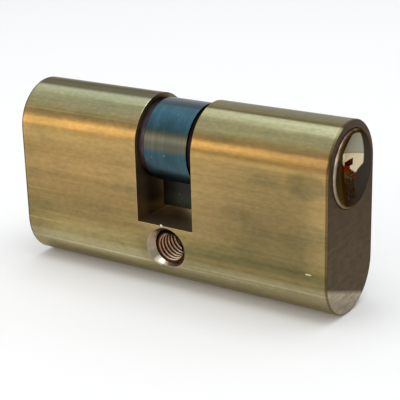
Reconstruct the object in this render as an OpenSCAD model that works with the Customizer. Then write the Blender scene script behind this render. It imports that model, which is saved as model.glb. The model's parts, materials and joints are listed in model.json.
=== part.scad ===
// Double oval profile lock cylinder: a brass body with a turning plug in each end,
// a cam between them and five spring-loaded pin stacks below each plug.
// X runs along the cylinder, Z is up, and the origin lies under the fixing hole.

/* [Body] */
// Length from the fixing hole to the right end face
right_l = 27.5; // [27.5:0.5:45]
// Length from the fixing hole to the left end face
left_l = 27.5; // [27.5:0.5:45]
// Width across the flat sides
body_w = 14; // [14:0.1:15]
// Height over both round edges
body_h = 29; // [28.5:0.1:33]
// Width of the gap for the cam
gap_w = 10; // [10:0.1:10.8]
// Height of the web left under the gap
web_h = 10.5; // [9.8:0.1:11]
// Broken edge round each end face
edge_break = 0.2; // [0.1:0.05:0.4]

/* [Fixing hole] */
// Outer diameter of the fixing thread
thread_d = 5; // [4:0.1:5]
// Height of the fixing hole above the bottom edge
hole_z = 6.75; // [6.5:0.05:6.9]
// Rim diameter of the countersink at the flat side
sink_d = 7; // [6:0.1:7.2]
// Depth of the countersink from the flat side
sink_depth = 1.5; // [0.8:0.1:2]

/* [Plug] */
// Diameter of the plug head in the end face
head_d = 11.54; // [11.2:0.02:11.6]
// Thickness of the head inside the body
head_t = 1.1; // [0.8:0.1:1.5]
// Height of the head above the end face
head_proud = 0.35; // [0.25:0.05:0.6]
// Diameter of the plug behind its head
plug_d = 10.74; // [10.4:0.02:10.8]
// Depth of the hollow in the plug face
dish_depth = 0.9; // [0.6:0.1:1.5]
// Radial clearance of each turning fit
fit_gap = 0.03; // [0.02:0.01:0.05]
// End clearance between parts that turn past each other
end_gap = 0.05; // [0.03:0.01:0.08]

/* [Keyway] */
// Top of the keyway above the plug axis
key_top = 1.2; // [1.2:0.1:2]
// Bottom of the keyway below the plug axis
key_low = 4.5; // [4:0.1:4.6]
// Width of the keyway
key_w = 2.6; // [2.2:0.1:2.8]
// Depth of each ward into the keyway
ward_t = 0.8; // [0.4:0.1:1]
// Height of each ward
ward_h = 1.1; // [0.8:0.1:1.3]
// Diameter of the hole for the tip of the key
tip_hole_d = 3; // [2.6:0.1:3.2]

/* [Plug tail and circlip] */
// Diameter of the tail that carries the cam
tail_d = 8.8; // [8.6:0.1:8.8]
// Diameter at the bottom of the circlip groove
groove_d = 8; // [7.6:0.1:8.2]
// Thickness of the circlip
clip_t = 1; // [0.8:0.05:1]
// Outer diameter of the circlip
clip_d = 12.5; // [12:0.1:12.7]
// Opening angle of the circlip
clip_open = 70; // [50:5:90]

/* [Cam] */
// Outer diameter of the cam ring
cam_d = 12.8; // [12.6:0.1:13]
// Length of the cam along the cylinder
cam_l = 7.6; // [7.4:0.1:7.6]
// Clearance between the cam bit and the web under the gap
cam_clear = 1.2; // [0.9:0.1:1.8]
// Thickness of the cam bit
cam_bit_t = 3.4; // [3:0.1:3.8]
// Length of the middle web inside the cam
cam_web_l = 3.8; // [3.7:0.1:3.9]

/* [Clutch] */
// Reach of each clutch dog from the plug axis
dog_reach = 5.2; // [5:0.05:5.2]
// Height of the clutch dog
dog_h = 3.1; // [2.9:0.1:3.2]
// Thickness of the clutch dog
dog_t = 1.6; // [1.4:0.1:1.6]
// Travel of the two clutch halves
dog_travel = 2; // [2:0.05:2.1]
// Sliding clearance round each clutch dog
dog_gap = 0.05; // [0.03:0.01:0.08]
// Length of the button that the key tip pushes
button_l = 1; // [0.8:0.1:1.4]

/* [Pins] */
// Number of pin stacks in each half
pin_n = 5; // [3:1:5]
// Distance from the last pin stack to the gap
pin_last = 2.5; // [2.5:0.1:3.2]
// Distance from the end face to the first pin stack
pin_first = 4.4; // [4:0.1:4.4]
// Wall between two pin chambers
pin_wall = 1.1; // [1.1:0.05:1.4]
// Radial clearance of the pins in their chambers
pin_gap = 0.05; // [0.03:0.01:0.08]
// Length of the driver pins
driver_l = 5; // [4:0.1:5.4]
// Height of the caps that close the chambers
cap_h = 1.8; // [1.6:0.1:2.2]

/* [Springs] */
// Wire diameter of the pin springs
wire_d = 0.26; // [0.2:0.02:0.3]
// Turns of each pin spring
pin_turns = 8; // [6:1:9]
// Wire diameter of the clutch spring
clutch_wire_d = 0.3; // [0.24:0.02:0.34]
// Turns of the clutch spring
clutch_turns = 5; // [4:1:6]

/* [Hidden] */
$fn = 96;

// Lengths of the key pins, first stack nearest the end face
RIGHT_CUTS = [4.6, 5.1, 3.9, 4.9, 4.3];
LEFT_CUTS = [5, 4.1, 4.8, 3.8, 5.1];

// Small overshoot that keeps cuts from ending on a face
over = 0.5;

// Body
side_r = body_w / 2;
axis_z = body_h - side_r;
low_z = side_r;
gap_x = gap_w / 2;

// Plug
head_r = head_d / 2;
plug_r = plug_d / 2;
bore_r = plug_r + fit_gap;
recess_r = head_r + fit_gap;
recess_t = head_t + end_gap;
rim_r = head_proud;
dish_edge_r = head_r - rim_r;
dish_ball_r = (pow(dish_edge_r, 2) + pow(dish_depth, 2)) / (2 * dish_depth);
ARC_STEPS = 6;
tail_r = tail_d / 2;
groove_r = groove_d / 2;
groove_w = clip_t + end_gap;
tail_end = end_gap * 2;
cam_x = cam_l / 2;
tip_hole_r = tip_hole_d / 2;

// Ward heights from the plug axis
ward_top = 0.2;
ward_low = -2.1;

// Clutch
dog_slot_h = dog_h + 2 * dog_gap;
dog_near = tail_end;
dog_far = dog_near + dog_t + dog_travel + dog_gap;
button_r = tip_hole_r - 2 * dog_gap;
seat_r = 1.05;
seat_t = 0.7;
clutch_spring_r = seat_r - clutch_wire_d / 2 - dog_gap;
key_wall = 1.2;
key_stop = gap_x + key_wall;

// Cam
cam_reach = axis_z - web_h - cam_clear;
cam_bore_r = tail_r + fit_gap;
cam_room_r = dog_reach + 2 * dog_gap;
notch_h = dog_h + 4 * dog_gap;

// Pins, at the same pitch in both halves
pin_pitch = (min(right_l, left_l) - gap_x - pin_first - pin_last) / (pin_n - 1);
chamber_r = (pin_pitch - pin_wall) / 2;
pin_r = chamber_r - pin_gap;
pin_bevel = 0.3;
shear_gap = 0.03;
key_pin_low = sqrt(pow(plug_r - shear_gap, 2) - pow(pin_r - pin_bevel, 2));
driver_top = bore_r + 2 * shear_gap;
tip_flat_r = 0.5;
tip_cone_h = 0.8;
waist_cut = 0.35;
waist_r = pin_r - waist_cut;
waist_end = 1;
spring_end_gap = 0.03;
spring_side_gap = 0.1;
spring_r = pin_r - spring_side_gap - wire_d / 2;
SPRING_SIDES = 5;
SPRING_STEPS = 8;

// Shades of the parts
BRASS = "#b7a06a";
DULL_BRASS = "#8d8064";
PIN_BRASS = "#c9a94f";
BLUED_STEEL = "#6f8b96";
DARK_STEEL = "#6d6470";
SPRING_STEEL = "#b9bcc0";

// Place of a pin stack along its half, counted from the end face
function pin_x(side_l, i) = side_l - pin_first - (i - 1) * pin_pitch;

// Points of a quarter round from the flank of the head to its face
function rim_points(face_x) = [
    for (i = [0:ARC_STEPS])
        let (a = 90 * i / ARC_STEPS)
            [dish_edge_r + rim_r * cos(a), face_x - rim_r + rim_r * sin(a)]
];

// Points of the bowl in the face, from its edge to the plug axis
function dish_points(face_x) = [
    for (i = [ARC_STEPS - 1:-1:0])
        let (r = dish_edge_r * i / ARC_STEPS)
            [r, face_x - dish_depth + dish_ball_r - sqrt(pow(dish_ball_r, 2) - pow(r, 2))]
];

// Turns a profile in radius and height about the plug axis, with its height along X
module about_plug_axis() {
    translate([0, 0, axis_z]) rotate([0, 90, 0]) rotate_extrude() children();
}

// The left half is the right half turned end for end
module on_left() {
    rotate([0, 0, 180]) children();
}

// Half of a round edge of the body, with both ends bevelled
module round_edge(z, turn) {
    translate([-left_l, 0, z]) rotate([0, 90, 0]) rotate([0, 0, turn])
        rotate_extrude(angle = 180) polygon([
            [0, 0],
            [side_r - edge_break, 0],
            [side_r, edge_break],
            [side_r, left_l + right_l - edge_break],
            [side_r - edge_break, left_l + right_l],
            [0, left_l + right_l]
        ]);
}

// Flat-sided middle of the body, with both ends bevelled
module flat_middle() {
    translate([0, 0, low_z]) linear_extrude(axis_z - low_z) polygon([
        [-left_l, edge_break - side_r],
        [edge_break - left_l, -side_r],
        [right_l - edge_break, -side_r],
        [right_l, edge_break - side_r],
        [right_l, side_r - edge_break],
        [right_l - edge_break, side_r],
        [edge_break - left_l, side_r],
        [-left_l, side_r - edge_break]
    ]);
}

// Outer form of the body before any hole is made
module oval_bar() {
    round_edge(axis_z, 90);
    flat_middle();
    round_edge(low_z, -90);
}

// Bore for one plug, with the wider recess for its head
module plug_bore(side_l) {
    translate([0, 0, axis_z]) rotate([0, 90, 0]) {
        cylinder(h = side_l + over, r = bore_r);
        translate([0, 0, side_l - recess_t]) cylinder(h = recess_t + over, r = recess_r);
    }
}

// Chambers of one half, drilled from the bottom edge up into the plug bore
module pin_chambers(side_l) {
    for (i = [1:pin_n])
        translate([pin_x(side_l, i), 0, -over]) cylinder(h = axis_z - plug_r + 2 * over, r = chamber_r);
}

// Through hole for the fixing screw, countersunk on both flat sides
module fixing_hole() {
    translate([0, 0, hole_z]) rotate([90, 0, 0]) {
        cylinder(h = body_w + 2 * over, r = thread_d / 2, center = true);
        for (side = [0, 180])
            rotate([0, side, 0]) translate([0, 0, side_r - sink_depth])
                cylinder(h = 2 * sink_depth, r1 = thread_d / 2, r2 = sink_d - thread_d / 2);
    }
}

// Brass body, cut away in the middle for the cam
module cylinder_body() {
    color(BRASS) difference() {
        oval_bar();
        translate([-gap_x, -side_r - over, web_h]) cube([gap_w, body_w + 2 * over, body_h]);
        plug_bore(right_l);
        on_left() plug_bore(left_l);
        pin_chambers(right_l);
        on_left() pin_chambers(left_l);
        fixing_hole();
    }
}

// Section of the keyway, with one ward on each side
module keyway_section() {
    difference() {
        translate([-key_w / 2, -key_low]) square([key_w, key_low + key_top]);
        translate([key_w / 2 - ward_t, ward_top - ward_h]) square([ward_t + over, ward_h]);
        translate([-key_w / 2 - over, ward_low - ward_h]) square([ward_t + over, ward_h]);
    }
}

// Turned form of a plug: dished head, long barrel, circlip groove and tail
module turned_plug(side_l) {
    face_x = side_l + head_proud;
    about_plug_axis() polygon(concat(
        [
            [0, tail_end],
            [tail_r, tail_end],
            [tail_r, gap_x - groove_w],
            [groove_r, gap_x - groove_w],
            [groove_r, gap_x],
            [plug_r, gap_x],
            [plug_r, side_l - head_t],
            [head_r, side_l - head_t]
        ],
        rim_points(face_x),
        dish_points(face_x)
    ));
}

// One plug with its keyway, pin holes and the cross slot for the clutch
module plug(side_l) {
    color(DULL_BRASS) difference() {
        turned_plug(side_l);
        translate([key_stop, 0, axis_z]) rotate([90, 0, 90])
            linear_extrude(side_l + head_proud + over - key_stop) keyway_section();
        translate([0, 0, axis_z]) rotate([0, 90, 0]) cylinder(h = key_stop + over, r = tip_hole_r);
        translate([tail_end - over, -tail_r - over, axis_z - dog_slot_h / 2])
            cube([dog_far - tail_end + over, tail_d + 2 * over, dog_slot_h]);
        for (i = [1:pin_n])
            translate([pin_x(side_l, i), 0, axis_z - plug_r - over])
                cylinder(h = plug_r + key_top + over, r = chamber_r);
    }
}

module plug_right() {
    plug(right_l);
}

module plug_left() {
    on_left() plug(left_l);
}

// Open spring ring in the groove of the plug, with its mouth downwards
module circlip() {
    mouth = clip_d * tan(clip_open / 2);
    color(DARK_STEEL) translate([gap_x - clip_t - end_gap / 2, 0, axis_z]) rotate([90, 0, 90])
        linear_extrude(clip_t - end_gap / 2) difference() {
            circle(r = clip_d / 2);
            circle(r = groove_r + fit_gap);
            polygon([[0, 0], [-mouth, -clip_d], [mouth, -clip_d]]);
        }
}

module circlip_right() {
    circlip();
}

module circlip_left() {
    on_left() circlip();
}

// Section of the cam: ring and hanging bit with a turned tip
module cam_outline() {
    circle(r = cam_d / 2);
    intersection() {
        circle(r = cam_reach);
        translate([-cam_bit_t / 2, -cam_reach]) square([cam_bit_t, cam_reach]);
    }
}

// Steel cam with a notched web inside that either clutch dog can turn
module cam() {
    color(BLUED_STEEL) difference() {
        translate([-cam_x, 0, axis_z]) rotate([90, 0, 90]) linear_extrude(cam_l) cam_outline();
        translate([-cam_x - over, 0, axis_z]) rotate([0, 90, 0]) cylinder(h = cam_l + 2 * over, r = cam_bore_r);
        for (side = [0, 180])
            rotate([0, 0, side]) translate([cam_web_l / 2, 0, axis_z]) rotate([0, 90, 0])
                cylinder(h = cam_l, r = cam_room_r);
        intersection() {
            translate([-cam_x - over, -cam_d / 2, axis_z - notch_h / 2]) cube([cam_l + 2 * over, cam_d, notch_h]);
            translate([-cam_x - over, 0, axis_z]) rotate([0, 90, 0])
                cylinder(h = cam_l + 2 * over, r = cam_room_r);
        }
    }
}

// One clutch half at a distance from the middle: cross dog, push button and spring seat
module clutch(near_x) {
    color(DARK_STEEL) translate([near_x, 0, axis_z]) difference() {
        union() {
            intersection() {
                translate([0, -dog_reach, -dog_h / 2]) cube([dog_t, 2 * dog_reach, dog_h]);
                rotate([0, 90, 0]) cylinder(h = dog_t, r = dog_reach);
            }
            rotate([0, 90, 0]) cylinder(h = dog_t + button_l, r = button_r);
        }
        translate([-over, 0, 0]) rotate([0, 90, 0]) cylinder(h = seat_t + over, r = seat_r);
    }
}

// The right half stands in the notches of the cam, the left half clear of them
module clutch_right() {
    clutch(dog_near);
}

module clutch_left() {
    on_left() clutch(dog_near + dog_travel);
}

// Height along a coil spring that has one flat turn at each end
function coil_height(t, turns, wire, length) =
    t < 1 ? t * wire :
    t > turns - 1 ? length - wire - (turns - t) * wire :
    wire + (t - 1) * (length - 3 * wire) / (turns - 2);

// Wire coil along +Z from the origin
module coil_spring(mean_r, wire, turns, length) {
    rings = turns * SPRING_STEPS;
    points = [
        for (i = [0:rings])
            let (t = i / SPRING_STEPS, z = wire / 2 + coil_height(t, turns, wire, length))
                for (k = [0:SPRING_SIDES - 1])
                    let (a = 360 * k / SPRING_SIDES, r = mean_r + wire / 2 * cos(a))
                        [r * cos(360 * t), r * sin(360 * t), z + wire / 2 * sin(a)]
    ];
    skin = [
        for (i = [0:rings - 1], k = [0:SPRING_SIDES - 1])
            let (a = i * SPRING_SIDES + k, b = i * SPRING_SIDES + (k + 1) % SPRING_SIDES)
                each [[a, a + SPRING_SIDES, b + SPRING_SIDES], [a, b + SPRING_SIDES, b]]
    ];
    first_end = [for (k = [0:SPRING_SIDES - 1]) k];
    last_end = [for (k = [SPRING_SIDES - 1:-1:0]) rings * SPRING_SIDES + k];
    color(SPRING_STEEL) polyhedron(points, concat(skin, [first_end, last_end]));
}

// Spring that holds the clutch halves apart
module clutch_spring() {
    low_x = -dog_near - dog_travel - seat_t + spring_end_gap;
    high_x = dog_near + seat_t - spring_end_gap;
    translate([low_x, 0, axis_z]) rotate([0, 90, 0])
        coil_spring(clutch_spring_r, clutch_wire_d, clutch_turns, high_x - low_x);
}

// Key pin with a bevelled foot at the shear line and a cone for the cut of the key
module key_pin(side_l, cuts, i) {
    length = cuts[i - 1];
    color(PIN_BRASS) translate([pin_x(side_l, i), 0, axis_z - key_pin_low]) rotate_extrude() polygon([
        [0, 0],
        [pin_r - pin_bevel, 0],
        [pin_r, pin_bevel],
        [pin_r, length - tip_cone_h],
        [tip_flat_r, length],
        [0, length]
    ]);
}

// Waisted driver pin standing on its spring
module driver_pin(side_l, i) {
    color(SPRING_STEEL) translate([pin_x(side_l, i), 0, axis_z - driver_top - driver_l])
        rotate_extrude() polygon([
            [0, 0],
            [pin_r - pin_bevel, 0],
            [pin_r, pin_bevel],
            [pin_r, waist_end],
            [waist_r, waist_end + pin_bevel],
            [waist_r, driver_l - waist_end - pin_bevel],
            [pin_r, driver_l - waist_end],
            [pin_r, driver_l - pin_bevel],
            [pin_r - pin_bevel, driver_l],
            [0, driver_l]
        ]);
}

// Spring between the chamber cap and the driver pin
module pin_spring(side_l, i) {
    low = cap_h + spring_end_gap;
    high = axis_z - driver_top - driver_l - spring_end_gap;
    translate([pin_x(side_l, i), 0, low]) coil_spring(spring_r, wire_d, pin_turns, high - low);
}

// Pressed cap, finished flush with the round bottom edge
module chamber_cap(side_l, i) {
    color(BRASS) intersection() {
        translate([pin_x(side_l, i), 0, -over]) cylinder(h = cap_h + over, r = chamber_r);
        translate([0, 0, low_z]) rotate([0, 90, 0]) cylinder(h = side_l, r = side_r);
    }
}

cylinder_body();
cam();
plug_right();
plug_left();
circlip_right();
circlip_left();
clutch_right();
clutch_left();
clutch_spring();
for (i = [1:pin_n]) {
    key_pin(right_l, RIGHT_CUTS, i);
    on_left() key_pin(left_l, LEFT_CUTS, i);
    driver_pin(right_l, i);
    on_left() driver_pin(left_l, i);
    pin_spring(right_l, i);
    on_left() pin_spring(left_l, i);
    chamber_cap(right_l, i);
    on_left() chamber_cap(left_l, i);
}
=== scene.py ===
import json
import math

import bpy
from mathutils import Matrix, Vector


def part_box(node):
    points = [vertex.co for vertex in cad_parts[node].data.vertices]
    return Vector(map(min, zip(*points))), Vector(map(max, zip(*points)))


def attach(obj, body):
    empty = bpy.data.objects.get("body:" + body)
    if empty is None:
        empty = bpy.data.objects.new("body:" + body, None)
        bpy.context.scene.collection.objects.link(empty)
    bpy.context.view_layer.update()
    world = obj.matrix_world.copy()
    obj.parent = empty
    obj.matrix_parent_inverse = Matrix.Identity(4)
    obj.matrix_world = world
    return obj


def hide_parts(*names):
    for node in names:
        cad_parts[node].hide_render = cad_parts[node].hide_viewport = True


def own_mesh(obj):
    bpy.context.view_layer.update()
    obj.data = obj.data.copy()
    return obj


# Looks of an oval profile lock cylinder: camera, studio, metals and the fixing thread
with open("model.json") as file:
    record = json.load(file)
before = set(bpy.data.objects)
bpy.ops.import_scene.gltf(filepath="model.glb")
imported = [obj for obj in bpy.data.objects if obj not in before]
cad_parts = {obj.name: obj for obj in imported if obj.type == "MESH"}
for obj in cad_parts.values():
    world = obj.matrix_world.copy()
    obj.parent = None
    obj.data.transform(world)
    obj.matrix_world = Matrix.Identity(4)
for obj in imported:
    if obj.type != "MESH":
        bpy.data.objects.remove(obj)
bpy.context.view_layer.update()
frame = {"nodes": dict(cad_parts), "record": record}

MM = 0.001

# Sizes read from the frame, in mm
BODY_LOW, BODY_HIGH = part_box("cylinder_body")
SIDE_R = (BODY_HIGH.y - BODY_LOW.y) / 2 / MM
TOP_Z = BODY_HIGH.z / MM
END_X = BODY_HIGH.x / MM
AXIS_Z = TOP_Z - SIDE_R
RING_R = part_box("cam")[1].z / MM - AXIS_Z

# Sizes of the solids that no box gives, in mm
HOLE_Z = 6.75
THREAD_R = 2.5
THREAD_HALF = 5.5
SINK_R = 3.5
GAP_X = 5.0
WEB_Z = 10.5
HEAD_PROUD = 0.35
BOWL_DEEP = 0.9
BOWL_R = 5.42
BOWL_RISE = BOWL_DEEP / BOWL_R**2
KEYWAY_HALF = 1.3

# Sizes and places of what only the looks have, in mm
THREAD_H = 0.42
THREAD_PITCH = 0.8
THREAD_PAST = 0.35
SCRATCH_PLACE = (24.5, 7.85)
SCRATCH_SIZE = (0.55, 0.15)
DARK_PATCH_PLACE = (24.3, 20.8)
DARK_PATCH_SIZE = (3.8, 2.2)
RIM_HIGHLIGHT_R = 5.80
PALE_LINE_Z = 17.2
LOW_LINE_Z = 7.5
GLEAM_PLACE = (-1.75, HOLE_Z - 2.35)
END_LEAN = 0.375

# Studio: floor in metres, and how strongly floor and sky shine
FLOOR_SIZE = 3.0
FLOOR_GLOW = 0.06
SKY_STRENGTH = 0.72

# A tint that changes nothing
AS_IS = (1.0, 1.0, 1.0)

# Camera of the photograph
CAMERA_PLACE = Vector((97.6, -141.6, 72.8)) * MM
CAMERA_AZIMUTH = math.radians(34.08)
CAMERA_ELEVATION = math.radians(19.30)
CAMERA_ROLL = math.radians(1.54)
CAMERA_LENS = 106.1
CAMERA_SENSOR = 36


def make_camera():
    data = bpy.data.cameras.new("camera")
    data.lens = CAMERA_LENS
    data.sensor_width = CAMERA_SENSOR
    data.clip_start = 0.01
    camera = bpy.data.objects.new("camera", data)
    bpy.context.scene.collection.objects.link(camera)
    turn = (
        Matrix.Rotation(CAMERA_AZIMUTH, 4, "Z")
        @ Matrix.Rotation(math.pi / 2 - CAMERA_ELEVATION, 4, "X")
        @ Matrix.Rotation(-CAMERA_ROLL, 4, "Z")
    )
    camera.matrix_world = Matrix.Translation(CAMERA_PLACE) @ turn
    bpy.context.scene.camera = camera


class Nodes:
    """Builds one node material with short calls."""

    def __init__(self, name):
        self.material = bpy.data.materials.new(name)
        self.material.use_nodes = True
        self.tree = self.material.node_tree
        self.tree.nodes.clear()
        self.out = self.add("ShaderNodeOutputMaterial")
        self.shader = self.add("ShaderNodeBsdfPrincipled")
        self.link(self.shader.outputs["BSDF"], self.out.inputs["Surface"])
        self.where = self.add("ShaderNodeTexCoord").outputs["Object"]

    def add(self, kind, **settings):
        node = self.tree.nodes.new(kind)
        for key, value in settings.items():
            setattr(node, key, value)
        return node

    def link(self, source, target):
        self.tree.links.new(source, target)

    def feed(self, socket, value):
        """Links a socket to another one, or sets its value."""
        if isinstance(value, bpy.types.NodeSocket):
            self.link(value, socket)
        else:
            socket.default_value = value

    def set(self, node, **values):
        for key, value in values.items():
            self.feed(node.inputs[key.replace("_", " ")], value)

    def stretched(self, scale):
        mapping = self.add("ShaderNodeMapping")
        self.set(mapping, Vector=self.where, Scale=scale)
        return mapping.outputs["Vector"]

    def axes(self):
        """Place on the piece in mm, along X, Y and Z."""
        place = self.add("ShaderNodeSeparateXYZ")
        self.link(self.stretched((1000, 1000, 1000)), place.inputs[0])
        return place.outputs

    def math(self, operation, a, b=0.0):
        node = self.add("ShaderNodeMath", operation=operation)
        self.feed(node.inputs[0], a)
        self.feed(node.inputs[1], b)
        return node.outputs[0]

    def total(self, first, *others):
        for other in others:
            first = self.math("ADD", first, other)
        return first

    def product(self, first, *others):
        for other in others:
            first = self.math("MULTIPLY", first, other)
        return first

    def past(self, value, start):
        """How far a value lies past a start."""
        return self.math("SUBTRACT", value, start)

    def off(self, value, centre):
        """How far a value lies from a centre, on either side."""
        return self.math("ABSOLUTE", self.past(value, centre))

    def spread(self, values, centre=(0.0, 0.0), size=(1.0, 1.0)):
        """Square of the distance from a centre, counted in the size along each way."""
        parts = []
        for value, middle, unit in zip(values, centre, size):
            share = self.math("DIVIDE", self.past(value, middle), unit)
            parts.append(self.math("POWER", share, 2.0))
        return self.total(*parts)

    def step(self, value, start, end):
        """Rises smoothly from 0 at the start to 1 at the end."""
        node = self.add("ShaderNodeMapRange", interpolation_type="SMOOTHSTEP")
        turned = start > end
        low, high = (end, start) if turned else (start, end)
        self.set(node, Value=value, From_Min=low, From_Max=high)
        self.set(node, To_Min=float(turned), To_Max=float(not turned))
        return node.outputs["Result"]

    def mix(self, fac, a, b):
        """Blends two colours, numbers or directions."""
        node = self.add("ShaderNodeMix", data_type="RGBA")
        for socket, value in ((node.inputs[0], fac), (node.inputs[6], a), (node.inputs[7], b)):
            self.feed(socket, (*value, 1) if isinstance(value, tuple) else value)
        return node.outputs[2]

    def times(self, colour, factor):
        """Multiplies a colour by another."""
        node = self.add("ShaderNodeMix", data_type="RGBA", blend_type="MULTIPLY")
        self.feed(node.inputs[0], 1.0)
        self.feed(node.inputs[6], colour)
        self.feed(node.inputs[7], factor)
        return node.outputs[2]

    def tint(self, fac, colour, low, high):
        """Multiplies a colour by a factor that runs from low to high."""
        return self.times(colour, self.mix(fac, low, high))

    def noise(self, scale, detail=4.0, roughness=0.55):
        node = self.add("ShaderNodeTexNoise")
        self.set(node, Vector=self.stretched(scale), Scale=1.0, Detail=detail, Roughness=roughness)
        return node.outputs["Fac"]

    def ramp(self, fac, *stops):
        node = self.add("ShaderNodeValToRGB")
        self.link(fac, node.inputs["Fac"])
        ramp = node.color_ramp
        while len(ramp.elements) < len(stops):
            ramp.elements.new(0.5)
        for element, (place, colour) in zip(ramp.elements, stops):
            element.position = place
            element.color = (*colour, 1)
        return node.outputs["Color"]

    def bump(self, height, strength, distance, normal=None):
        node = self.add("ShaderNodeBump")
        self.set(node, Height=height, Strength=strength, Distance=distance)
        if normal is not None:
            self.link(normal, node.inputs["Normal"])
        return node.outputs["Normal"]


def plain_metal(name, colour, dark, roughness):
    """A metal with fine mottling in its colour and roughness, and a light grain."""
    n = Nodes(name)
    spots = n.noise((900, 900, 900))
    n.set(
        n.shader,
        Metallic=1.0,
        Base_Color=n.ramp(spots, (0.3, dark), (0.7, colour)),
        Roughness=n.total(n.product(spots, 0.15), roughness - 0.07),
        Normal=n.bump(spots, 0.12, 0.02 * MM),
    )
    return n.material


def clip_steel():
    """Brown-purple oxide of the circlips; the right one is painted nearly black as shade."""
    n = Nodes("clip_steel")
    x, _, _ = n.axes()
    spots = n.noise((900, 900, 900))
    tone = n.ramp(spots, (0.3, (0.0493, 0.037, 0.0397)), (0.7, (0.0877, 0.0644, 0.0699)))
    # Painted shade: the right circlip nearly black
    tone = n.tint(n.step(x, -1.0, 1.0), tone, AS_IS, (0.22, 0.20, 0.20))
    n.set(
        n.shader,
        Metallic=1.0,
        Base_Color=tone,
        Roughness=n.total(n.product(spots, 0.15), 0.28),
        Specular_Tint=(0.3, 0.25, 0.25, 1),
        Normal=n.bump(spots, 0.12, 0.02 * MM),
    )
    return n.material


def painted_side_bands(n, height):
    """Golden flat sides with painted reflection bands by height: an olive bottom edge and a warm painted
    highlight band under the rounding.
    """
    return n.ramp(
        height,
        (0.000, (0.233, 0.206, 0.123)),
        (0.060, (0.305, 0.268, 0.155)),
        (0.125, (0.355, 0.310, 0.175)),
        (0.180, (0.350, 0.305, 0.165)),
        (0.212, (0.252, 0.197, 0.084)),
        (0.250, (0.262, 0.203, 0.081)),
        (0.480, (0.336, 0.233, 0.0959)),
        (0.700, (0.39, 0.263, 0.101)),
        (0.790, (0.425, 0.281, 0.101)),
        (0.860, (0.438, 0.295, 0.116)),
        (0.882, (0.336, 0.230, 0.090)),
        (0.900, (0.395, 0.329, 0.145)),
        (0.915, (0.390, 0.341, 0.163)),
    )


def painted_top_bands(n, x, y):
    """Rounded top: painted reflection bands by the sine of the angle from the highest line, one set for each
    half.
    """
    tilt = n.math("DIVIDE", n.math("ABSOLUTE", y), SIDE_R)
    sway = n.product(n.math("MAXIMUM", n.past(x, 8.0), 0.0), 0.0012)
    left_top = n.ramp(
        tilt,
        (0.030, (0.066, 0.062, 0.042)),
        (0.156, (0.162, 0.159, 0.101)),
        (0.254, (0.173, 0.160, 0.092)),
        (0.300, (0.233, 0.226, 0.137)),
        (0.337, (0.452, 0.460, 0.319)),
        (0.408, (0.626, 0.623, 0.416)),
        (0.471, (0.559, 0.557, 0.330)),
        (0.528, (0.567, 0.575, 0.333)),
        (0.581, (0.467, 0.451, 0.251)),
        (0.672, (0.401, 0.367, 0.195)),
        (0.748, (0.421, 0.360, 0.188)),
        (0.790, (0.411, 0.343, 0.164)),
    )
    right_top = n.ramp(
        n.past(tilt, sway),
        (0.020, (0.264, 0.289, 0.244)),
        (0.139, (0.285, 0.251, 0.151)),
        (0.233, (0.269, 0.215, 0.110)),
        (0.295, (0.190, 0.169, 0.081)),
        (0.322, (0.190, 0.169, 0.081)),
        (0.368, (0.575, 0.541, 0.322)),
        (0.430, (0.685, 0.658, 0.397)),
        (0.498, (0.606, 0.589, 0.336)),
        (0.549, (0.607, 0.573, 0.310)),
        (0.595, (0.486, 0.443, 0.240)),
        (0.639, (0.406, 0.359, 0.182)),
        (0.678, (0.373, 0.330, 0.160)),
        (0.714, (0.385, 0.338, 0.167)),
        (0.779, (0.390, 0.341, 0.163)),
    )
    return n.mix(n.step(x, -0.5, 0.5), left_top, right_top)


def left_side(n, tone, x, z):
    """Flat side of the left half: a little darker, with a pale line and a pale low part."""
    left = n.step(x, -2.0, -7.0)
    darker_left = n.product(left, n.step(z, 22.0, 18.0), n.step(z, 6.5, 9.5))
    tone = n.tint(darker_left, tone, AS_IS, (0.87, 0.84, 0.80))
    line = n.product(n.step(n.off(z, PALE_LINE_Z), 1.9, 0.7), n.step(x, -1.0, -7.0))
    tone = n.tint(line, tone, AS_IS, (1.26, 1.25, 1.28))
    low = n.product(left, n.step(z, 10.0, 7.5), n.step(z, 2.5, 4.5), n.step(x, -26.0, -19.0))
    return n.tint(low, tone, AS_IS, (1.34, 1.36, 1.42))


def right_side(n, tone, x, z):
    """Flat side of the right half: darker, with a dark line low down and a dark patch near the end."""
    along = n.product(n.step(x, 3.0, 17.0), n.step(x, 26.5, 22.5))
    darker_right = n.product(along, n.step(z, 6.6, 8.0), n.step(z, 24.0, 20.5))
    tone = n.tint(darker_right, tone, (1.05, 1.05, 1.05), (0.73, 0.76, 0.78))
    low_dark_line = n.product(n.step(n.off(z, LOW_LINE_Z), 1.0, 0.35), n.step(x, -12.0, 2.0))
    tone = n.tint(low_dark_line, tone, AS_IS, (0.72, 0.78, 0.78))
    dark_patch = n.spread((x, z), DARK_PATCH_PLACE, DARK_PATCH_SIZE)
    dark_patch = n.total(dark_patch, n.product(n.noise((260, 300, 420)), 0.8))
    return n.tint(n.step(dark_patch, 1.6, 0.7), tone, AS_IS, (0.72, 0.76, 0.82))


def warm_highlight_band(n, tone, x, z):
    """The warm painted highlight band is weaker on the right half, most of all near its end."""
    warm = n.product(n.step(z, 22.6, 23.4), n.step(z, 25.7, 24.9))
    weak = n.mix(n.step(x, 2.0, 6.0), (0.91, 0.84, 0.77), (0.76, 0.69, 0.61))
    tone = n.tint(warm, tone, AS_IS, weak)
    far = n.product(n.step(x, 15.0, 20.0), n.step(z, 23.6, 24.6), n.step(z, 25.7, 25.0))
    return n.tint(far, tone, AS_IS, (0.72, 0.76, 0.84))


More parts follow.
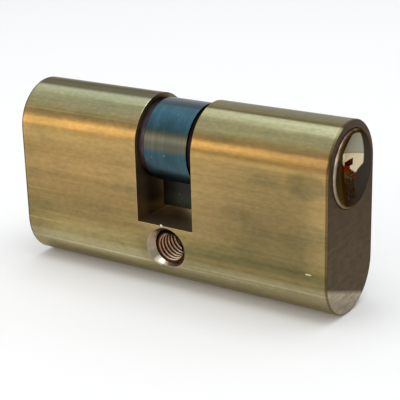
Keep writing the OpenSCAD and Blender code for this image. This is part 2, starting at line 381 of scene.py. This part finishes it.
def drawn_streaks(n, tone, broad, fine):
    """Streaks and scratches along the bar, patches of patina and a fine grain."""
    grain = n.noise((1100, 2100, 2100), detail=3.0)
    patch = n.noise((95, 170, 190), detail=6.0, roughness=0.62)
    lines = n.noise((9, 1000, 1150), detail=1.0)
    tone = n.tint(n.step(grain, 0.3, 0.7), tone, (0.92, 0.92, 0.92), (1.08, 1.08, 1.08))
    tone = n.tint(n.step(broad, 0.35, 0.65), tone, (0.95, 0.94, 0.92), (1.05, 1.05, 1.07))
    tone = n.tint(n.step(fine, 0.3, 0.7), tone, (0.90, 0.90, 0.89), (1.09, 1.09, 1.10))
    tone = n.tint(n.step(patch, 0.34, 0.50), tone, (0.82, 0.87, 0.90), AS_IS)
    return n.tint(n.step(lines, 0.66, 0.72), tone, AS_IS, (1.28, 1.30, 1.40))


def sawn_end_reflections(n, y, height):
    """Sawn end face: painted dark bronze that stands for a dark reflection, with a painted floor reflection
    making it lighter along the bottom edge.
    """
    leaning = n.total(height, n.product(y, END_LEAN / TOP_Z))
    tone = n.ramp(
        leaning,
        (0.04, (0.34, 0.29, 0.22)),
        (0.098, (0.41, 0.35, 0.265)),
        (0.123, (0.0822, 0.0600, 0.0430)),
        (0.70, (0.0493, 0.0329, 0.0233)),
        (0.95, (0.0617, 0.0493, 0.0384)),
    )
    marks = n.noise((400, 500, 1500), detail=5.0)
    return n.tint(n.step(marks, 0.3, 0.7), tone, (0.80, 0.78, 0.76), (1.18, 1.18, 1.2))


def shaded_gap(n, y, z):
    """Walls of the gap painted dark as shade, darker further inside, over a lighter floor."""
    shaded_wall = n.mix(n.step(y, -5.6, -3.2), (0.36, 0.25, 0.145), (0.10, 0.066, 0.036))
    return n.mix(n.step(z, WEB_Z + 0.1, WEB_Z + 0.02), shaded_wall, (0.39, 0.285, 0.18))


def fixing_hole(n, x, z, from_hole):
    """Countersink, freshly cut and a little pink, with painted shade over its lower left and a painted gleam
    there, over the darker bore.
    """
    low_left = n.total(n.product(x, -0.60), n.product(n.past(z, HOLE_Z), -0.80))
    tone = n.mix(n.step(low_left, 1.3, 2.3), (0.46, 0.355, 0.265), (0.33, 0.27, 0.19))
    # Painted highlight: a gleam at the lower left of the countersink
    gleam = n.spread((x, z), GLEAM_PLACE)
    tone = n.mix(n.step(gleam, 0.9, 0.15), tone, (0.80, 0.72, 0.54))
    return n.mix(n.step(from_hole, THREAD_R + 0.06, THREAD_R + 0.01), tone, (0.35, 0.265, 0.19))


def body_brass():
    """Drawn brass with painted reflection bands that make its round edges olive, sawn ends painted dark as a
    dark reflection, a gap with painted shade and a bright fixing hole with a painted gleam.
    """
    n = Nodes("body_brass")
    x, y, z = n.axes()
    along = n.math("ABSOLUTE", x)
    height = n.math("DIVIDE", z, TOP_Z)
    broad = n.noise((22, 300, 420), detail=3.0)
    fine = n.noise((32, 1300, 1500), detail=5.0, roughness=0.75)
    tone = n.mix(n.step(z, 26.2, 26.7), painted_side_bands(n, height), painted_top_bands(n, x, y))
    tone = left_side(n, tone, x, z)
    tone = right_side(n, tone, x, z)
    tone = warm_highlight_band(n, tone, x, z)
    tone = drawn_streaks(n, tone, broad, fine)

    # Painted shade: a darker strip on the sides just before each end edge
    end_edge_shade = n.step(along, END_X - 0.5, END_X - 0.3)
    tone = n.tint(end_edge_shade, tone, AS_IS, (0.45, 0.40, 0.36))
    end = n.step(along, END_X - 0.1, END_X - 0.02)
    tone = n.mix(end, tone, sawn_end_reflections(n, y, height))
    gap = n.product(n.step(along, GAP_X + 0.03, GAP_X - 0.01), n.step(z, WEB_Z - 0.05, WEB_Z))
    tone = n.mix(gap, tone, shaded_gap(n, y, z))
    from_hole = n.math("SQRT", n.spread((x, z), (0.0, HOLE_Z)))
    hole = n.step(from_hole, SINK_R + 0.03, SINK_R - 0.03)
    tone = n.mix(hole, tone, fixing_hole(n, x, z, from_hole))

    # Painted highlights on the edges round the gap, and one scratch low on the right half
    plain = n.add("ShaderNodeNewGeometry").outputs["Normal"]
    bevel = n.add("ShaderNodeBevel", samples=6)
    n.set(bevel, Radius=0.2 * MM)
    facing = n.add("ShaderNodeVectorMath", operation="DOT_PRODUCT")
    n.link(bevel.outputs["Normal"], facing.inputs[0])
    n.link(plain, facing.inputs[1])
    edge_highlight = n.step(facing.outputs["Value"], 0.998, 0.95)
    near_gap = n.product(n.step(along, GAP_X + 0.6, GAP_X + 0.3), n.step(z, 9.0, 10.0))
    edge_highlight = n.product(edge_highlight, near_gap, n.math("SUBTRACT", 1.0, gap))
    tone = n.tint(edge_highlight, tone, AS_IS, (1.45, 1.45, 1.5))
    scratch = n.step(n.spread((x, z), SCRATCH_PLACE, SCRATCH_SIZE), 1.2, 0.5)
    tone = n.mix(n.product(scratch, n.step(y, -6.5, -6.8)), tone, (0.548, 0.507, 0.329))

    rounded = n.mix(gap, bevel.outputs["Normal"], plain)
    relief = n.total(fine, n.product(broad, 0.5))
    n.set(
        n.shader,
        Metallic=1.0,
        Base_Color=tone,
        Roughness=n.total(n.product(broad, 0.12), 0.17, n.product(end, 0.20), n.product(gap, 0.20)),
        Specular_Tint=(0.8, 0.73, 0.6, 1),
        Normal=n.bump(relief, 0.22, 0.012 * MM, rounded),
    )
    return n.material


def beyond(n, y, z, line, soft=0.12):
    """1 on the side of a straight line that its normal points to: a point, then the normal."""
    y_from, z_from, y_way, z_way = line
    part = n.product(n.past(y, y_from), y_way)
    rest = n.product(n.past(z, z_from), z_way)
    return n.step(n.total(part, rest), -soft, soft)


def bowl_sheen(n, y, z, z_rough, radius):
    """Painted reflection where the bowl of the plug shows bright: two bright facets with a painted dark line
    between, and a painted highlight spot.
    """
    sheen = n.step(n.math("SQRT", n.spread((y, z_rough), (-1.5, 0.6))), 5.50, 5.25)
    sheen = n.product(sheen, n.step(radius, 5.22, 5.05))
    sides = (
        (-2.3, 2.65, 0.80, -0.60),
        (-2.6, 2.8, 0.93, 0.37),
        (-1.9, 1.05, 0.48, 0.88),
        (2.0, -1.1, -0.46, 0.89),
    )
    for line in sides:
        sheen = n.product(sheen, beyond(n, y, z_rough, line))
    facet_line = n.total(n.past(z, 2.29), n.product(y, 0.255))
    tone = n.mix(n.step(facet_line, -0.05, 0.1), (0.644, 0.548, 0.377), (0.315, 0.301, 0.233))
    seam_shade = n.step(n.math("ABSOLUTE", facet_line), 0.16, 0.02)
    tone = n.tint(seam_shade, tone, AS_IS, (0.55, 0.53, 0.50))
    # Painted highlight spot on the brighter facet
    spot = n.step(n.spread((y, z), (-2.1, 2.2)), 0.6, 0.1)
    return sheen, n.tint(spot, tone, AS_IS, (1.5, 1.5, 1.6))


def dark_bowl_reflection(n, y, z_rough):
    """The rest of the bowl, painted dark as a dark reflection, with a red-brown patch under the bright
    facets.
    """
    tone = n.mix(n.step(y, -3.0, -1.5), (0.058, 0.046, 0.040), (0.042, 0.036, 0.028))
    below = n.total(n.product(y, 0.48), n.product(z_rough, 0.88))
    red_patch = n.product(n.step(below, -1.15, -0.85), n.step(below, 0.3, 0.0))
    red_patch = n.product(red_patch, n.step(y, -2.3, -1.8), n.step(y, 2.2, 1.6))
    return n.mix(red_patch, tone, (0.105, 0.032, 0.014))


def keyway_wall_light(n, z):
    """Keyway walls with painted light: red-brown where lit in the upper part, pale brown below, and a painted
    glint between.
    """
    tone = n.mix(n.step(z, -1.7, -1.3), (0.62, 0.50, 0.36), (0.849, 0.33, 0.12))
    glint = n.product(n.step(z, -2.1, -1.8), n.step(z, -1.1, -1.35))
    return n.mix(glint, tone, (1.0, 1.0, 0.904))


def plug_brass():
    """Dull brass with painted light: a rim with painted highlights and shade, a bowl painted dark with a
    bright painted reflection, and red-brown keyway walls with painted light.
    """
    n = Nodes("plug_brass")
    x, y, z = n.axes()
    depth = n.math("ABSOLUTE", x)
    y = n.product(y, n.math("SIGN", x))
    z = n.past(z, AXIS_Z)
    square = n.spread((y, z))
    radius = n.math("SQRT", square)
    spots = n.noise((900, 900, 900))

    # Rim with painted highlight and shade: bright along its outer edge, darker to the right, at the upper
    # left and low down, with a painted glare on the outer edge at the upper left
    tone = n.ramp(spots, (0.3, (0.411, 0.329, 0.233)), (0.7, (0.548, 0.452, 0.329)))
    tone = n.tint(n.step(y, -1.5, 2.5), tone, AS_IS, (0.26, 0.23, 0.21))
    upper_left = n.product(n.step(z, 2.6, 3.8), n.step(y, 0.6, -0.4))
    tone = n.tint(upper_left, tone, AS_IS, (0.42, 0.34, 0.30))
    outer_highlight = n.step(n.off(radius, RIM_HIGHLIGHT_R), 0.28, 0.06)
    tone = n.tint(outer_highlight, tone, (0.42, 0.38, 0.35), (0.95, 0.93, 0.92))
    tone = n.tint(n.step(z, 0.8, -1.2), tone, AS_IS, (0.75, 0.73, 0.70))
    glare = n.product(n.step(z, 1.4, 2.6), n.step(z, 4.9, 4.2), n.step(y, -1.5, -2.5), outer_highlight)
    tone = n.tint(glare, tone, AS_IS, (2.1, 2.05, 2.0))

    face = n.step(depth, END_X - 1.4, END_X - 1.3)
    bowl = n.product(face, n.step(radius, BOWL_R + 0.02, BOWL_R - 0.12))
    z_rough = n.total(z, n.product(n.past(n.noise((600, 600, 600)), 0.5), 0.5))
    sheen, sheen_tone = bowl_sheen(n, y, z, z_rough, radius)
    tone = n.mix(bowl, tone, n.mix(sheen, dark_bowl_reflection(n, y, z_rough), sheen_tone))

    surface = n.total(n.product(square, BOWL_RISE), END_X + HEAD_PROUD - BOWL_DEEP)
    inside = n.product(n.step(n.past(surface, depth), 0.03, 0.10), n.step(radius, BOWL_R - 0.1, BOWL_R - 0.3))
    slot = n.product(inside, n.step(n.math("ABSOLUTE", y), KEYWAY_HALF + 0.06, KEYWAY_HALF + 0.02))
    tone = n.mix(slot, tone, keyway_wall_light(n, z))

    flank = n.product(bowl, n.step(y, -1.8, -3.0))
    edge_tint = n.mix(flank, (0.4, 0.34, 0.27), (0.44, 0.42, 0.33))
    n.set(
        n.shader,
        Metallic=1.0,
        Base_Color=tone,
        Roughness=n.total(n.product(spots, 0.14), 0.20),
        Specular_Tint=n.mix(glare, edge_tint, AS_IS),
        Normal=n.bump(spots, 0.10, 0.02 * MM),
    )
    return n.material


def ring_light_bands(n, z):
    """Painted reflection and shade bands across the front of the cam ring, by height over its axis."""
    level = n.math("DIVIDE", n.total(z, RING_R), 2 * RING_R)
    return n.ramp(
        level,
        (0.25, (0.75, 0.72, 0.72)),
        (0.32, (0.42, 0.45, 0.44)),
        (0.50, (0.40, 0.44, 0.42)),
        (0.72, (0.34, 0.31, 0.27)),
        (0.78, (0.52, 0.52, 0.48)),
        (0.84, (0.72, 0.72, 0.74)),
        (0.92, (0.90, 0.95, 0.92)),
        (0.965, (0.90, 0.98, 0.95)),
        (0.98, (0.34, 0.40, 0.40)),
        (1.00, (0.28, 0.34, 0.34)),
    )


def cam_bit_shade(n, x, z):
    """Bit painted nearly black as shade, darkest just under the ring, with a painted pale reflection at the
    right of its foot.
    """
    tone = n.mix(n.step(z, -7.1, -9.4), (0.007, 0.006, 0.004), (0.020, 0.026, 0.016))
    foot_reflection = n.product(n.step(z, -8.8, -9.8), n.step(x, 0.8, 2.6))
    return n.mix(foot_reflection, tone, (0.075, 0.105, 0.070))


def blued_steel():
    """Blue oxide with grinding marks round the ring, painted reflection and shade bands, a warm painted
    reflection band across its front and a bit painted dark as shade.
    """
    n = Nodes("blued_steel")
    x, y, z = n.axes()
    z = n.past(z, AXIS_Z)
    radius = n.math("SQRT", n.spread((y, z)))
    marks = n.noise((2500, 60, 60), detail=3.0)
    patch = n.noise((260, 260, 260), detail=5.0, roughness=0.65)
    tone = n.ramp(patch, (0.30, (0.034, 0.099, 0.131)), (0.72, (0.071, 0.209, 0.289)))
    tone = n.times(tone, ring_light_bands(n, z))
    # Painted reflection: a warm grey band across the front of the ring
    warm_reflection = n.product(n.step(z, -0.5, 0.6), n.step(z, 3.3, 2.5), n.step(y, -3.0, -5.5))
    warm_reflection_tone = n.mix(n.step(z, 2.6, 1.7), (0.062, 0.062, 0.040), (0.092, 0.094, 0.066))
    tone = n.mix(warm_reflection, tone, warm_reflection_tone)
    tone = n.tint(n.step(marks, 0.3, 0.7), tone, (0.86, 0.87, 0.88), (1.12, 1.12, 1.12))
    bit = n.step(radius, RING_R + 0.01, RING_R + 0.07)
    tone = n.mix(bit, tone, cam_bit_shade(n, x, z))
    specks = n.step(n.noise((1500, 1500, 1500), detail=2.0), 0.71, 0.75)
    tone = n.mix(specks, tone, (0.192, 0.247, 0.247))
    n.set(
        n.shader,
        Metallic=1.0,
        Base_Color=tone,
        Roughness=n.total(n.product(patch, 0.2), 0.22),
        Normal=n.bump(marks, 0.15, 0.012 * MM),
        Coat_Weight=0.4,
        Coat_Roughness=0.22,
    )
    return n.material


def cut_brass():
    """Freshly cut thread: crests painted bright as highlights over roots painted dark red-brown as shade."""
    n = Nodes("cut_brass")
    x, _, z = n.axes()
    from_hole = n.math("SQRT", n.spread((x, z), (0.0, HOLE_Z)))
    height = n.math("DIVIDE", n.math("SUBTRACT", THREAD_R, from_hole), THREAD_H)
    spots = n.noise((1400, 1400, 1400))
    height = n.total(height, n.product(n.past(spots, 0.5), 0.25))
    tone = n.ramp(
        height,
        (0.05, (0.034, 0.014, 0.007)),
        (0.58, (0.120, 0.042, 0.017)),
        (0.80, (0.600, 0.370, 0.220)),
        (0.95, (1.000, 0.950, 0.800)),
    )
    # Painted shade on the left side of the thread, painted light on the right
    tone = n.tint(n.step(x, -2.2, 0.6), tone, (0.50, 0.40, 0.32), (1.15, 1.15, 1.15))
    normal = n.bump(spots, 0.1, 0.02 * MM)
    n.set(n.shader, Metallic=1.0, Base_Color=tone, Roughness=0.24, Normal=normal)
    return n.material


def solid(name, verts, faces, material, body):
    """A piece of its own, from corners in mm, that rides on a body."""
    mesh = bpy.data.meshes.new(name)
    mesh.from_pydata([[v * MM for v in corner] for corner in verts], [], faces)
    mesh.update()
    piece = bpy.data.objects.new(name, mesh)
    bpy.context.scene.collection.objects.link(piece)
    mesh.materials.append(material)
    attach(piece, body)
    return piece


def helix_thread(name, material, body):
    """Inner thread of the fixing hole: a coiled ridge on the wall of the bore."""
    root, crest = THREAD_R - 0.005, THREAD_R - THREAD_H
    steps = 40
    start = THREAD_HALF + THREAD_PAST
    rings = int(2 * start / THREAD_PITCH * steps)
    profile = ((root, -0.38), (crest, -0.06), (crest, 0.06), (root, 0.38))
    verts, faces = [], []
    for i in range(rings + 1):
        a = 2 * math.pi * i / steps
        fade = max(min(1.0, i / 12, (rings - i) / 12), 0.05)
        along = -start + THREAD_PITCH * i / steps
        for edge_r, shift in profile:
            r = root + (edge_r - root) * fade
            verts.append((r * math.cos(a), along + shift, HOLE_Z + r * math.sin(a)))
    for i in range(rings):
        for k in range(4):
            a, b = 4 * i + k, 4 * i + (k + 1) % 4
            faces.append((a, b, b + 4, a + 4))
    faces.append((3, 2, 1, 0))
    faces.append(tuple(4 * rings + k for k in range(4)))
    return solid(name, verts, faces, material, body)


def burr(name, place, size, material, body):
    """A chip of brass left on the edge of the gap by the cutter."""
    x, y, z = place
    a, b, c = size
    verts = [
        (x - a, y, z),
        (x - 0.3 * a, y - b, z + 0.2 * c),
        (x + a, y, z),
        (x + 0.2 * a, y + b, z),
        (x - 0.1 * a, y - 0.3 * b, z + c),
        (x, y, z - 0.5 * c),
    ]
    faces = [(0, 1, 4), (1, 2, 4), (2, 3, 4), (3, 0, 4), (1, 0, 5), (2, 1, 5), (3, 2, 5), (0, 3, 5)]
    return solid(name, verts, faces, material, body)


def coil(side, number):
    """A copy of a pin spring that rides on the cylinder, in place of the solid one."""
    node = f"pin_spring_{side}_{number}"
    piece = bpy.data.objects.new(f"coil_{side}_{number}", frame["nodes"][node].data.copy())
    bpy.context.scene.collection.objects.link(piece)
    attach(piece, "cylinder")
    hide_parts(node)
    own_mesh(piece)


def studio():
    """Pale floor and sky; the floor shows a little paler to the camera and in the metal."""
    bpy.ops.mesh.primitive_plane_add(size=FLOOR_SIZE, location=(0, 0, 0))
    floor = bpy.context.object
    floor.name = "floor"
    n = Nodes("floor")
    rays = n.add("ShaderNodeLightPath").outputs
    mirrored = n.math("MAXIMUM", rays["Is Glossy Ray"], rays["Is Transmission Ray"])
    shown = n.math("MAXIMUM", rays["Is Camera Ray"], mirrored)
    n.set(
        n.shader,
        Base_Color=(0.93, 0.93, 0.93, 1),
        Roughness=0.9,
        Emission_Color=(1.0, 0.85, 0.75, 1),
        Emission_Strength=n.product(shown, FLOOR_GLOW),
    )
    floor.data.materials.append(n.material)
    world = bpy.data.worlds.new("studio")
    bpy.context.scene.world = world
    world.use_nodes = True
    sky = world.node_tree.nodes["Background"]
    sky.inputs["Color"].default_value = (0.95, 0.98, 1, 1)
    sky.inputs["Strength"].default_value = SKY_STRENGTH


def lamp(name, place, aim, size, power, colour):
    data = bpy.data.lights.new(name, "AREA")
    data.shape = "RECTANGLE"
    data.size, data.size_y = size
    data.energy = power
    data.color = colour
    light = bpy.data.objects.new(name, data)
    bpy.context.scene.collection.objects.link(light)
    light.location = place
    light.rotation_euler = (Vector(aim) - Vector(place)).to_track_quat("-Z", "Z").to_euler()


make_camera()
studio()
lamp(
    "strip",
    place=(-0.21, -0.33, 0.129),
    aim=(0, 0, 0.02),
    size=(0.5, 0.10),
    power=0.30,
    colour=(1.0, 0.86, 0.66),
)
lamp("top", place=(0.05, 0.0, 0.6), aim=(0, 0, 0), size=(0.5, 0.5), power=1.44, colour=(0.95, 0.98, 1.0))

METALS = {
    "body_brass": body_brass(),
    "plug_brass": plug_brass(),
    "cam_steel": blued_steel(),
    "clip_steel": clip_steel(),
    "clutch_steel": plain_metal("clutch", (0.343, 0.329, 0.315), (0.247, 0.233, 0.233), 0.4),
    "pin_brass": plain_metal("pin", (0.754, 0.548, 0.206), (0.617, 0.438, 0.151), 0.25),
    "driver_steel": plain_metal("driver", (0.617, 0.63, 0.658), (0.479, 0.493, 0.521), 0.25),
    "spring_steel": plain_metal("spring", (0.685, 0.685, 0.712), (0.548, 0.548, 0.575), 0.25),
    "cap_brass": plain_metal("cap", (0.411, 0.315, 0.151), (0.329, 0.247, 0.116), 0.35),
}
for entry in frame["record"]["subparts"]:
    piece = frame["nodes"][entry["node"]]
    piece.data.materials.clear()
    piece.data.materials.append(METALS[entry["material_slot"]])

for half in ("right", "left"):
    for number in range(1, 6):
        coil(half, number)

# The chip's near white colour is a painted highlight
CHIP_GLINT = plain_metal("chip_brass", (1.0, 1.0, 0.932), (1.0, 0.932, 0.685), 0.22)
helix_thread("fixing_thread", cut_brass(), "cylinder")
burr("gap_burr", (-0.7, -6.98, WEB_Z), (0.35, 0.15, 0.3), CHIP_GLINT, "cylinder")

bpy.context.scene.view_settings.view_transform = "Standard"
